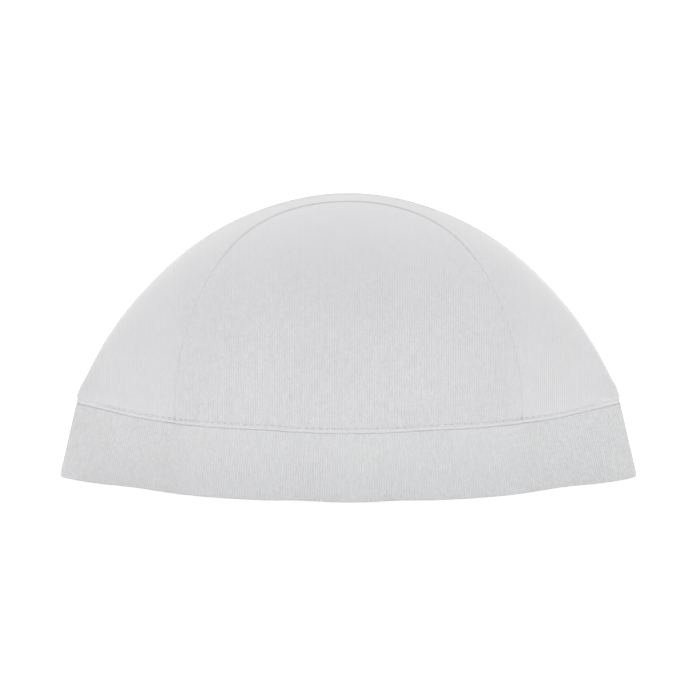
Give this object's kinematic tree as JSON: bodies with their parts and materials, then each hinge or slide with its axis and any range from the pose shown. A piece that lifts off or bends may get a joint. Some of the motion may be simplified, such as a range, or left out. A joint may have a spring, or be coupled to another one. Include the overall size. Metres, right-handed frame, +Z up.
{
  "type": "knitted beanie",
  "caption": "Close-fitting rib-knit sports beanie with an arched front panel and a doubled band, standing half open on its hem.",
  "frame": {"origin": "midway across and front to back, on the surface that the hem rests on", "axes": "+Z up to the top of the crown, +X towards the side crease at the wearer's left, front panel faces -Y"},
  "size_m": [0.2366, 0.118, 0.1183],
  "materials": {
    "crown_knit": "matte fine rib knit",
    "band_knit": "matte fine rib knit, doubled"
  },
  "bodies": {
    "root": {"crown_front": "crown_knit", "crown_back": "crown_knit", "band": "band_knit"}
  },
  "joints": []
}
